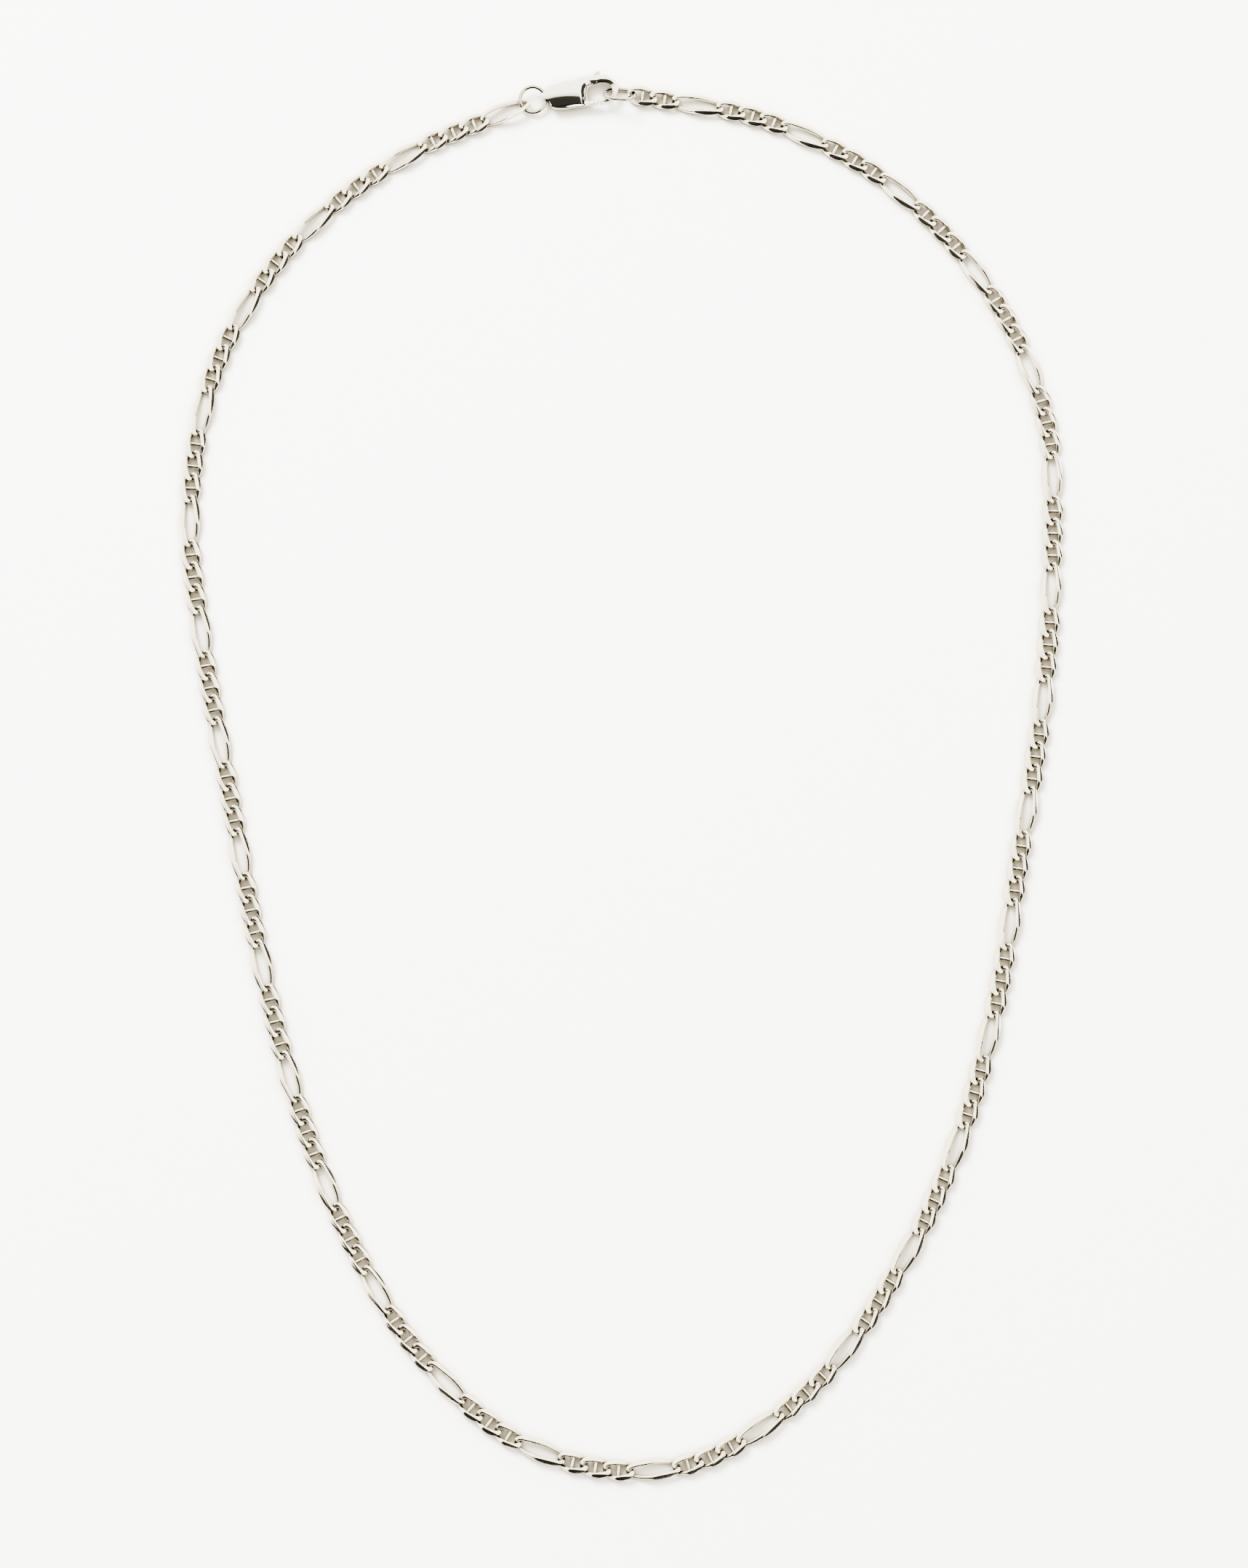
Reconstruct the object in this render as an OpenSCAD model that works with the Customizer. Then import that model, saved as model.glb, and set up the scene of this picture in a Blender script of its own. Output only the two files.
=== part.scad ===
// Silver necklace chain, lying closed on a table in a pear-shaped loop.
// Pattern: one long plain link, then three short links with a bar across the middle.
// Origin: on the table, under the middle of the whole necklace. +Y is the clasp's side.

/* [Chain] */
// Length of one repeat of the pattern, one long and three short links, along the chain
repeat_len = 14.4; // [14.38:0.01:14.42]
// Outer width of every link
link_w = 2.52; // [2.4:0.02:2.6]
// Height of the chain, from its lower cut flats to its upper ones
chain_h = 1.04; // [1:0.02:1.1]
// Width of the wire at a link's ends, seen from above
bow_w = 0.43; // [0.38:0.01:0.44]
// Width of the wire in a link's two long sides, seen from above
limb_w = 0.64; // [0.5:0.01:0.68]
// Height of the wire in a link's long sides, before the flats are cut
limb_h = 0.5; // [0.42:0.01:0.54]
// Height of the wire at a link's ends
bow_h = 0.38; // [0.34:0.01:0.39]
// Free play between two links that pull on each other
link_play = 0.19; // [0.18:0.01:0.22]
// Rise and fall of a link's sides where the next link's wire passes under and over them
side_rise = 0.53; // [0.52:0.01:0.56]
// How square the outline of a link is: 2 is an ellipse
squareness = 2.5; // [2.4:0.1:2.8]
// Share of the wire's width that the flat takes, from the hole outwards
flat_share = 0.56; // [0.4:0.02:0.7]
// Pattern repeats from the first long link to the last one
repeats = 30; // [30:1:30]
// Short links after the last long link
end_shorts = 2; // [1:1:2]

/* [Rings] */
// Outer diameter of the round ring in the clasp's tail
jump_ring_d = 3.68; // [3.66:0.01:3.7]
// Wire of the round ring
jump_wire_d = 0.41; // [0.38:0.01:0.41]
// Outer length of the oval ring that the hook holds
end_ring_len = 4.3; // [4.28:0.01:4.32]
// Outer width of the oval ring
end_ring_w = 3.1; // [3.08:0.01:3.12]
// Wire of the oval ring
end_wire_d = 0.41; // [0.38:0.01:0.41]

/* [Clasp] */
// Length of the clasp from its tail to the far side of its hook
clasp_len = 9.95; // [9.9:0.05:10]
// Width of the clasp's body
clasp_w = 3.86; // [3.84:0.02:3.9]
// Thickness of the hook
hook_t = 1; // [0.9:0.05:1]
// Thickness of the clasp at its thickest
clasp_t = 2.3; // [2.25:0.05:2.35]
// Opening of the lever, degrees, 0 is shut
lever_open = 0; // [0:1:24]

/* [Hidden] */

silver = [0.83, 0.82, 0.79];
$fn = 64;

// Each step along the pattern is a fifth of a repeat: a short link takes one, a long link two.
step_len = repeat_len / 5;
link_overlap = 2 * bow_w + link_play;
link_count = 4 * repeats + 1 + end_shorts;
// The left chain ends and the right one starts at the bottom of the loop.
left_count = 62;

// Moves the middle of the whole necklace to the origin
to_middle = [0.09, -0.65, 0];

// Route of the chain from the round ring, down the left side and up the right side, to the oval ring
// [x, y]
route = [
    [-11.5, 86.5],
    [-28.5, 79],
    [-42.5, 67.5],
    [-52, 51.5],
    [-55, 33],
    [-53, 15],
    [-49.5, -3.5],
    [-46, -21.5],
    [-41.5, -39.5],
    [-35, -57],
    [-25.5, -73],
    [-11.5, -85],
    [6.5, -87.5],
    [22.5, -78.5],
    [34, -63.5],
    [42, -47],
    [47, -29],
    [50, -11],
    [53, 7.5],
    [54.5, 26],
    [54, 44.5],
    [47, 61.5],
    [34.5, 75.5],
    [18.5, 84],
    [0.5, 87.5]
];
// Points worked out between two points of the route
route_parts = 12;
// Distance along the route from the round ring's centre to the left end of the first long link's step
route_start = 0.97;

function route_at(i) = i < 0 ? 2 * route[0] - route[1]
    : i >= len(route) ? 2 * route[len(route) - 1] - route[len(route) - 2]
    : route[i];

// Smooth curve through four neighbouring points, between the second and the third
function between(a, b, c, d, t) =
    0.5 * (2 * b + (c - a) * t + (2 * a - 5 * b + 4 * c - d) * t * t + (3 * b - a - 3 * c + d) * t * t * t);

route_curve = [
    for (i = [0 : len(route) - 2])
        for (k = [0 : route_parts - 1])
            between(route_at(i - 1), route_at(i), route_at(i + 1), route_at(i + 2), k / route_parts),
    route[len(route) - 1]
];
route_dist = [
    for (i = 0, s = 0; i < len(route_curve);
        s = s + (i + 1 < len(route_curve) ? norm(route_curve[i + 1] - route_curve[i]) : 0), i = i + 1) s
];
route_x = [for (i = [0 : len(route_curve) - 1]) [route_dist[i], route_curve[i].x]];
route_y = [for (i = [0 : len(route_curve) - 1]) [route_dist[i], route_curve[i].y]];

function on_route(s) = [lookup(s, route_x), lookup(s, route_y)];

// A long link comes first in each four.
function is_long(i) = i % 4 == 0;
function link_steps(i) = is_long(i) ? 2 : 1;
function steps_before(i) = 5 * floor(i / 4) + (i % 4 == 0 ? 0 : i % 4 + 1);
// The chain pulls at the points where two links meet, so each link lies straight between two of them.
function link_from(i) = on_route(route_start + step_len * steps_before(i));
function link_to(i) = on_route(route_start + step_len * (steps_before(i) + link_steps(i)));

// A link's wire is drawn as corners of its section at stations round the link.
// Stations, as degrees round the link from its right end
stations = [14, 48, 82, 98, 132, 166, 194, 228, 262, 278, 312, 346];
// Corners of the wire's section
// [share of the width outwards from the hole, share of half the height]
section = [[0, 1], [flat_share, 1], [1, 0], [flat_share, -1], [0, -1]];
corner_count = len(section);
station_count = len(stations);

function signed_power(v, p) = sign(v) * pow(abs(v), p);
function oval(t, half_len, half_w) = [
    half_len * signed_power(cos(t), 2 / squareness) / signed_power(cos(stations[0]), 2 / squareness),
    half_w * signed_power(sin(t), 2 / squareness) / signed_power(sin(stations[2]), 2 / squareness)
];
// The link is twisted: each side is high near one end and low near the other, and the flats cut off the rest.
function side_lift(t) = -side_rise * sin(2 * t);
function clamp(v, low, high) = max(low, min(high, v));
function wire_corner(t, k, outer_len) =
    let (outside = oval(t, outer_len / 2, link_w / 2))
    let (inside = oval(t, outer_len / 2 - bow_w, link_w / 2 - limb_w))
    let (spot = inside + (outside - inside) * section[k][0])
    let (half_h = (bow_h + (limb_h - bow_h) * pow(sin(t), 2)) / 2)
    let (height = clamp(side_lift(t) + section[k][1] * half_h, -chain_h / 2, chain_h / 2))
    [spot.x, spot.y, height];

// The rings hold up the first and the last link, which rise and twist towards them.
first_rise = 0.29;
first_twist = 15;
last_rise = 0.29;
last_twist = -5;

// Share of the way along a link towards its ring, and the point risen and twisted by it
function ring_share(i, x, outer_len) = i == 0 ? 0.5 - x / outer_len
    : i == link_count - 1 ? 0.5 + x / outer_len
    : 0;
function held_up(i, p, outer_len) =
    let (share = ring_share(i, p.x, outer_len))
    let (turn = share * (i == 0 ? first_twist : last_twist))
    [
        p.x,
        p.y * cos(turn) - p.z * sin(turn),
        p.y * sin(turn) + p.z * cos(turn) + share * (i == 0 ? first_rise : last_rise)
    ];

function laid(p, from, to) =
    let (way = (to - from) / norm(to - from))
    let (middle = (from + to) / 2)
    [
        middle.x + way.x * p.x - way.y * p.y,
        middle.y + way.y * p.x + way.x * p.y,
        p.z + chain_h / 2
    ] + to_middle;

function link_points(i) =
    let (outer_len = link_steps(i) * step_len + link_overlap)
    [
        for (t = stations)
            for (k = [0 : corner_count - 1])
                laid(held_up(i, wire_corner(t, k, outer_len), outer_len), link_from(i), link_to(i))
    ];

function quad(a, b, c, d) = [[a, b, c], [a, c, d]];
function at(j, k) = (j % station_count) * corner_count + (k % corner_count);
// The bar stands between the inner walls of the two middle stations, so those walls are left out on a short link.
function is_bar_wall(j, k, barred) = barred && k == corner_count - 1 && (j == 2 || j == 8);
function bar_faces() = concat(
    quad(at(9, 0), at(8, 0), at(3, 0), at(2, 0)),
    quad(at(8, 0), at(8, 4), at(3, 4), at(3, 0)),
    quad(at(8, 4), at(9, 4), at(2, 4), at(3, 4)),
    quad(at(9, 4), at(9, 0), at(2, 0), at(2, 4))
);
function link_faces(barred) = concat(
    [
        for (j = [0 : station_count - 1])
            for (k = [0 : corner_count - 1])
                if (!is_bar_wall(j, k, barred))
                    each quad(at(j, k), at(j + 1, k), at(j + 1, k + 1), at(j, k + 1))
    ],
    barred ? bar_faces() : []
);

module links(first, last) {
    points = [for (i = [first : last]) each link_points(i)];
    faces = [
        for (i = [first : last])
            for (f = link_faces(!is_long(i)))
                [for (v = f) v + (i - first) * station_count * corner_count]
    ];
    polyhedron(points = points, faces = faces, convexity = 10);
}

module chain_left() {
    color(silver)
        links(0, left_count - 1);
}

module chain_right() {
    color(silver)
        links(left_count, link_count - 1);
}

// The clasp is drawn along +X from its tail, with its middle plane at z = 0, and then laid on the table.
// Place of the tail's end and turn of the clasp, seen from above
clasp_at = [-10.45, 87.1];
clasp_turn = 6.6;
// Its belly is worn flat, so it stands a little lower than half its thickness.
belly_flat = 0.03;
clasp_mid_z = clasp_t / 2 - belly_flat;

// The tail is an eye on edge, whose hole runs across the clasp.
tail_r = 0.69;
tail_w = 0.8;
tail_hole_r = 0.49;
// The body's middle line lies a little to one side of the tail's.
body_y = -0.18;
body_start = 0.37;
body_r = clasp_w / 2;
body_left = body_start + body_r;
body_low = body_y - body_r;
hook_x = clasp_len - body_r;
// The rear of the body slims towards the tail on its outer side.
shoulder_r = 9;
shoulder_x = 4.8;
// The top and the belly curve across the clasp and along it.
dome_across_r = 5;
dome_along_r = 9;
dome_along_x = 4.6;
dome_fn = 360;
// Longer than any side of the clasp, for cuts that run right through
far = 20;

// The opening ends in a half circle inside the hook, and its other corners are straight.
opening_left = 5.9;
opening_right = 9.19;
opening_low = -1.5;
opening_r = 1.05;
opening_x = opening_right - opening_r;
opening_top = opening_low + 2 * opening_r;
opening_top_x = 7;
opening_left_top = 0.17;
// The mouth is where the gate sits, from the opening down through the lower edge.
mouth_top = opening_low + 0.2;

pivot = [4.95, -1.3];
pin_r = 0.3;
pin_play = 0.03;
// The pin is pressed into a blind hole, so only its lower end shows.
pin_seat = 0.01;
pin_top = 0.72;
pin_bottom = -0.9;

// The lever has a heel round the pin, a gate to the hook's tip, and an arm inside the body to the thumb tab.
lever_t = 0.6;
heel_r = 0.52;
gate_reach = 2.44;
gate_play = 0.06;
gate_heel = [5.3, -1.68];
gate_low_x = 5.5;
// Arm and thumb tab, from the heel's outer side round to its inner side
// [x, y]
arm = [
    [5.42, -1.3],
    [5.6, 0.35],
    [6.3, 0.92],
    [7.4, 1.1],
    [7.75, 1.7],
    [7.82, 2.38],
    [7.5, 2.36],
    [6.95, 1.72],
    [5.2, 1.2],
    [4.48, -1.3]
];
// The slot leaves room for all that the lever sweeps, and is open along the upper edge for the tab.
slot_t = 0.7;
slot_play = 0.08;
// [x, y]
slot = [
    [4.4, -1.3],
    [3.6, 0.9],
    [3.6, 3],
    [7.95, 3],
    [7.85, 1.7],
    [7.48, 1.02],
    [6.34, 0.84],
    [5.7, 0.3],
    [6.2, 0],
    [6.2, -3],
    [5.4, -3],
    [5.4, -2.11],
    [5.2, -1.72]
];

module on_table() {
    translate([clasp_at.x, clasp_at.y, clasp_mid_z] + to_middle)
        rotate([0, 0, clasp_turn])
            children();
}

module clasp_outline() {
    difference() {
        translate([0, body_y]) {
            translate([body_left, 0])
                circle(r = body_r);
            translate([body_left, -body_r])
                square([hook_x - body_left, clasp_w]);
            translate([hook_x, 0])
                circle(r = body_r);
        }
        difference() {
            translate([shoulder_x - far, body_y])
                square([far, far]);
            translate([shoulder_x, body_y + body_r - shoulder_r])
                circle(r = shoulder_r, $fn = dome_fn);
        }
    }
}

module opening_outline() {
    translate([opening_x, opening_low + opening_r])
        circle(r = opening_r);
    polygon([
        [opening_left, opening_low],
        [opening_x, opening_low],
        [opening_x, opening_top],
        [opening_top_x, opening_top],
        [opening_left, opening_left_top]
    ]);
}

module mouth_outline() {
    intersection() {
        translate([opening_left, mouth_top - far])
            square([far, far]);
        translate(pivot)
            circle(r = gate_reach + gate_play);
    }
}

module dome() {
    intersection() {
        translate([hook_x - far / 2, body_y, clasp_t / 2 - dome_across_r])
            rotate([0, 90, 0])
                cylinder(r = dome_across_r, h = far, $fn = dome_fn);
        translate([dome_along_x, far / 2, clasp_t / 2 - dome_along_r])
            rotate([90, 0, 0])
                cylinder(r = dome_along_r, h = far, $fn = dome_fn);
        translate([hook_x - far / 2, body_y, dome_across_r - clasp_t / 2])
            rotate([0, 90, 0])
                cylinder(r = dome_across_r, h = far, $fn = dome_fn);
        translate([dome_along_x, far / 2, dome_along_r - clasp_t / 2])
            rotate([90, 0, 0])
                cylinder(r = dome_along_r, h = far, $fn = dome_fn);
    }
}

// A plate of the lever, laid in its middle plane
module plate() {
    translate([0, 0, -lever_t / 2])
        linear_extrude(height = lever_t)
            children();
}

module lever_plates() {
    translate([pivot.x, pivot.y, -lever_t / 2])
        cylinder(r = heel_r, h = lever_t);
    intersection() {
        plate()
            polygon([
                pivot,
                [opening_left, opening_low],
                [far, opening_low],
                [far, body_low],
                [gate_low_x, body_low],
                gate_heel
            ]);
        translate([pivot.x, pivot.y, -lever_t])
            cylinder(r = gate_reach, h = 2 * lever_t);
    }
    plate()
        polygon(arm);
}

module slot_outline() {
    translate(pivot)
        circle(r = heel_r + slot_play);
    polygon(slot);
}

module clasp_body() {
    color(silver)
        on_table()
            difference() {
                union() {
                    intersection() {
                        translate([0, 0, -clasp_t])
                            linear_extrude(height = 2 * clasp_t)
                                clasp_outline();
                        dome();
                    }
                    translate([0, 0, -hook_t / 2])
                        linear_extrude(height = hook_t)
                            intersection() {
                                clasp_outline();
                                translate([opening_left, -far / 2])
                                    square([far, far]);
                            }
                    translate([tail_r, tail_w / 2, 0])
                        rotate([90, 0, 0])
                            cylinder(r = tail_r, h = tail_w);
                }
                translate([0, 0, -clasp_t])
                    linear_extrude(height = 2 * clasp_t) {
                        opening_outline();
                        mouth_outline();
                    }
                translate([tail_r, far / 2, 0])
                    rotate([90, 0, 0])
                        cylinder(r = tail_hole_r, h = far);
                translate([0, 0, -slot_t / 2])
                    linear_extrude(height = slot_t)
                        slot_outline();
                translate([pivot.x, pivot.y, -far])
                    cylinder(r = pin_r + pin_seat, h = far + pin_top + pin_seat);
                translate([-far / 2, -far / 2, -far - clasp_mid_z])
                    cube([2 * far, far, far]);
            }
}

module clasp_lever() {
    color(silver)
        on_table()
            translate(pivot)
                rotate([0, 0, lever_open])
                    translate(-pivot)
                        difference() {
                            lever_plates();
                            translate([pivot.x, pivot.y, -lever_t])
                                cylinder(r = pin_r + pin_play, h = 2 * lever_t);
                        }
}

module clasp_rivet() {
    color(silver)
        on_table()
            translate([pivot.x, pivot.y, pin_bottom])
                cylinder(r = pin_r, h = pin_top - pin_bottom);
}

// Middle and lean of the round ring
jump_at = [-11.42, 86.84, 0.96];
jump_lean = [11.3, -1.5, 0];

module jump_ring() {
    color(silver)
        translate(jump_at + to_middle)
            rotate(jump_lean)
                rotate_extrude()
                    translate([(jump_ring_d - jump_wire_d) / 2, 0])
                        circle(d = jump_wire_d, $fn = 32);
}

// Middle and lean of the oval ring
end_at = [-0.36, 87.21, 1.24];
end_lean = [-50, 0, -4.2];
end_arc_r = (end_ring_w - end_wire_d) / 2;
end_straight = end_ring_len - end_ring_w;

module end_ring() {
    color(silver)
        translate(end_at + to_middle)
            rotate(end_lean)
                for (side = [0, 180])
                    rotate([0, 0, side]) {
                        translate([end_straight / 2, 0])
                            rotate([0, 0, -90])
                                rotate_extrude(angle = 180)
                                    translate([end_arc_r, 0])
                                        circle(d = end_wire_d, $fn = 32);
                        translate([-end_straight / 2, end_arc_r, 0])
                            rotate([0, 90, 0])
                                cylinder(d = end_wire_d, h = end_straight, $fn = 32);
                    }
}

chain_left();
chain_right();
jump_ring();
end_ring();
clasp_body();
clasp_lever();
clasp_rivet();
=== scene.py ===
# Silver curb chain necklace, lying closed on a pale table.
# Pieces are shaped in millimetres and brought to metres when they are done.
import math
import random

import bpy
from mathutils import Matrix, Vector
from mathutils.kdtree import KDTree


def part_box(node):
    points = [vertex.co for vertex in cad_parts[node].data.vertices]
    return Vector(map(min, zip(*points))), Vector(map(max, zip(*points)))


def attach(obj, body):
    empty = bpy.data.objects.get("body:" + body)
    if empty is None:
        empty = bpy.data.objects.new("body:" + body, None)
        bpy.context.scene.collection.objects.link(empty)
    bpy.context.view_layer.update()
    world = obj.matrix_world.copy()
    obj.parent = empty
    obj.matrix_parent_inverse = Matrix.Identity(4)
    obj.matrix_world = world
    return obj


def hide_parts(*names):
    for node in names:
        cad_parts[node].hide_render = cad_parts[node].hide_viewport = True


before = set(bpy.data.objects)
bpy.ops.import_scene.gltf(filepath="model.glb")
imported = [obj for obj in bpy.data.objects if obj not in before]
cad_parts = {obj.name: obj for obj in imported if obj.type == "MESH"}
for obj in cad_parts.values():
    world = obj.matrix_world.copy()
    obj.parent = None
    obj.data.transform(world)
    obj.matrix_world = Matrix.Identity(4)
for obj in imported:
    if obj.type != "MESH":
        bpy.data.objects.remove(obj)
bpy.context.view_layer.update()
bpy.ops.object.select_all(action="DESELECT")

MM = 0.001

# Driving sizes, in millimetres, as in the part's source
LINK_W = 2.52
CHAIN_H = 1.04
BOW_W = 0.43
LIMB_W = 0.64
SQUARENESS = 2.25
LONG_LINK = 5
END_RISE = 0.29
FIRST_TWIST = -15
LAST_TWIST = -5
CLASP_TURN = 6.6
PIVOT = Vector((4.95, -1.3, 0))

# How near two points are taken for one, and a point for one on the plane of a cut
SAME_POINT = 1e-4
CUT_NEARNESS = 1e-5


# Small tools

def only(obj):
    bpy.ops.object.select_all(action="DESELECT")
    obj.select_set(True)
    bpy.context.view_layer.objects.active = obj


def edit(obj):
    only(obj)
    bpy.ops.object.mode_set(mode="EDIT")
    bpy.ops.mesh.select_all(action="SELECT")


def leave_edit():
    bpy.ops.object.mode_set(mode="OBJECT")


def finish_with(obj, kind, **settings):
    """Adds a modifier and applies it."""
    only(obj)
    modifier = obj.modifiers.new(kind.title(), kind)
    for name, value in settings.items():
        setattr(modifier, name, value)
    bpy.ops.object.modifier_apply(modifier=modifier.name)


def cut_away(obj, point, normal):
    """Cuts off what lies beyond a plane and closes the cut with a flat."""
    edit(obj)
    bpy.ops.mesh.bisect(
        plane_co=point, plane_no=normal, use_fill=True, clear_outer=True, threshold=CUT_NEARNESS
    )
    leave_edit()


def tidy_mesh(obj):
    """Joins points that lie together and turns every face outwards."""
    edit(obj)
    bpy.ops.mesh.remove_doubles(threshold=SAME_POINT)
    bpy.ops.mesh.normals_make_consistent(inside=False)
    leave_edit()


def combine(obj, tool, operation):
    """Joins another solid to a piece or cuts it out of the piece. The other solid goes."""
    finish_with(obj, "BOOLEAN", operation=operation, object=tool, solver="EXACT")
    bpy.data.objects.remove(tool)


def smooth_by(obj, degrees):
    only(obj)
    bpy.ops.object.shade_smooth_by_angle(angle=math.radians(degrees))


def put_on(obj, name, body, slot_name, material, *nodes):
    """Names a finished piece, gives it its finish and rides it on its body."""
    obj.name = name
    obj.data.name = name
    obj.data.materials.clear()
    obj.data.materials.append(material)
    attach(obj, body)
    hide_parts(*nodes)


# Silver: its colours, the fine wear in its gloss, the tarnish and painted shade in its corners and its
# hairline marks
SILVER = (0.84, 0.775, 0.63)
RING_SILVER = (0.45, 0.41, 0.33)
CLASP_SILVER = (0.83, 0.8, 0.73)
TARNISH_AND_PAINTED_SHADE = (0.08, 0.065, 0.045)
WEAR_SCALE = 420.0
WEAR_DETAIL = 4.0
WEAR_RANGE = (0.35, 0.7)
TARNISH_AND_SHADE_REACH = 1.2 * MM
TARNISH_AND_SHADE_RANGE = (0.42, 0.97)
TARNISH_AND_SHADE_SAMPLES = 8
HAIRLINE_STRETCH = (1.0, 7.0, 1.0)
HAIRLINE_TURN = 28
HAIRLINE_DETAIL = 3.0
HAIRLINE_STRENGTH = 0.35


def silver_finish(name, colour, dull, bright, scratch_size, scratch_depth):
    """Polished silver, with fine wear, hairline marks and tarnish in corners, deepened there into painted
    shade.
    """
    material = bpy.data.materials.new(name)
    material.use_nodes = True
    nodes = material.node_tree.nodes
    links = material.node_tree.links
    shader = nodes["Principled BSDF"]
    shader.inputs["Metallic"].default_value = 1.0

    place = nodes.new("ShaderNodeTexCoord")
    wear = nodes.new("ShaderNodeTexNoise")
    wear.inputs["Scale"].default_value = WEAR_SCALE
    wear.inputs["Detail"].default_value = WEAR_DETAIL
    links.new(place.outputs["Object"], wear.inputs["Vector"])
    gloss = nodes.new("ShaderNodeMapRange")
    gloss.inputs["From Min"].default_value = WEAR_RANGE[0]
    gloss.inputs["From Max"].default_value = WEAR_RANGE[1]
    gloss.inputs["To Min"].default_value = bright
    gloss.inputs["To Max"].default_value = dull
    links.new(wear.outputs["Fac"], gloss.inputs["Value"])
    links.new(gloss.outputs["Result"], shader.inputs["Roughness"])

    # Corners found by ambient occlusion darken towards a dark colour: partly tarnish, partly painted shade
    corner = nodes.new("ShaderNodeAmbientOcclusion")
    corner.inputs["Distance"].default_value = TARNISH_AND_SHADE_REACH
    corner.samples = TARNISH_AND_SHADE_SAMPLES
    depth = nodes.new("ShaderNodeMapRange")
    depth.inputs["From Min"].default_value = TARNISH_AND_SHADE_RANGE[0]
    depth.inputs["From Max"].default_value = TARNISH_AND_SHADE_RANGE[1]
    links.new(corner.outputs["AO"], depth.inputs["Value"])
    shade = nodes.new("ShaderNodeMix")
    shade.data_type = "RGBA"
    shade.inputs["A"].default_value = (*TARNISH_AND_PAINTED_SHADE, 1)
    shade.inputs["B"].default_value = (*colour, 1)
    links.new(depth.outputs["Result"], shade.inputs["Factor"])
    links.new(shade.outputs["Result"], shader.inputs["Base Color"])

    stretch = nodes.new("ShaderNodeMapping")
    stretch.inputs["Scale"].default_value = HAIRLINE_STRETCH
    stretch.inputs["Rotation"].default_value = (0, 0, math.radians(HAIRLINE_TURN))
    links.new(place.outputs["Object"], stretch.inputs["Vector"])
    marks = nodes.new("ShaderNodeTexNoise")
    marks.inputs["Scale"].default_value = 1.0 / scratch_size
    marks.inputs["Detail"].default_value = HAIRLINE_DETAIL
    links.new(stretch.outputs["Vector"], marks.inputs["Vector"])
    relief = nodes.new("ShaderNodeBump")
    relief.inputs["Strength"].default_value = HAIRLINE_STRENGTH
    relief.inputs["Distance"].default_value = scratch_depth
    links.new(marks.outputs["Fac"], relief.inputs["Height"])
    links.new(relief.outputs["Normal"], shader.inputs["Normal"])
    return material


chain_silver = silver_finish(
    "chain silver", SILVER, dull=0.11, bright=0.05, scratch_size=0.0009, scratch_depth=0.000002
)
ring_silver = silver_finish(
    "ring silver", RING_SILVER, dull=0.1, bright=0.05, scratch_size=0.0008, scratch_depth=0.000002
)
clasp_silver = silver_finish(
    "clasp silver", CLASP_SILVER, dull=0.1, bright=0.04, scratch_size=0.0012, scratch_depth=0.000003
)


# The links: each kind is made once, and then copied to every place that it has in the frame.

# Points round the wire's path, the size of its section, and its share of that size at the bows
PATH_POINTS = 24
WIRE_W = 0.65
WIRE_H = 0.9
WIRE_SQUARENESS = 2.9
BOW_SHARE = 0.61
OVER_SHARE = 0.1
FIRST_SLIMNESS = 0.72

# Rise and fall of the limbs: how far, how gently, where they are level, and how soon after the bows
WIRE_SWING = 0.48
LIMB_FALL = 0.52
LEVEL_SHARE = 0.12
BOW_FALL = 0.28

# Facets on the shoulders, with their tilt, their distance from the middle and their turn
FACET_TILT = 28
FACET_REACH = 0.858
LONG_FACET_REACH = 0.902
FACET_TURN = 8

# The bar, the bevel round the opening, and the worn edges
BAR_R = 0.235
BAR_SIDES = 16
INNER_BEVEL = 0.14
INNER_TILT = 40
INNER_SIDES = 40
EDGE_WEAR = 0.025
EDGE_ANGLE = 24
LINK_SMOOTH = 34

# How far a link lies off the level, in degrees, and what each run of links draws its lie from
MOST_ROLL = 1.4
MOST_PITCH = 0.5
LEFT_SEED = 3
RIGHT_SEED = 8


def signed_power(value, power):
    return math.copysign(abs(value) ** power, value)


def squarish(turn, half_x, half_y, squareness):
    """A point on an oval with fuller corners."""
    x = half_x * signed_power(math.cos(turn), 2 / squareness)
    y = half_y * signed_power(math.sin(turn), 2 / squareness)
    return Vector((x, y, 0))


def wire_middle(turn, outer_len):
    """Middle of the wire at an angle round the link, whose sides rise and fall."""
    middle = squarish(turn, (outer_len - BOW_W) / 2, (LINK_W - LIMB_W) / 2, SQUARENESS)
    towards_high = -math.cos(turn) if math.sin(turn) > 0 else math.cos(turn)
    along_limb = math.tanh((towards_high + LEVEL_SHARE) / LIMB_FALL)
    off_bow = math.tanh(abs(math.sin(turn)) / BOW_FALL)
    middle.z = WIRE_SWING * along_limb * off_bow
    return middle


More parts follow.
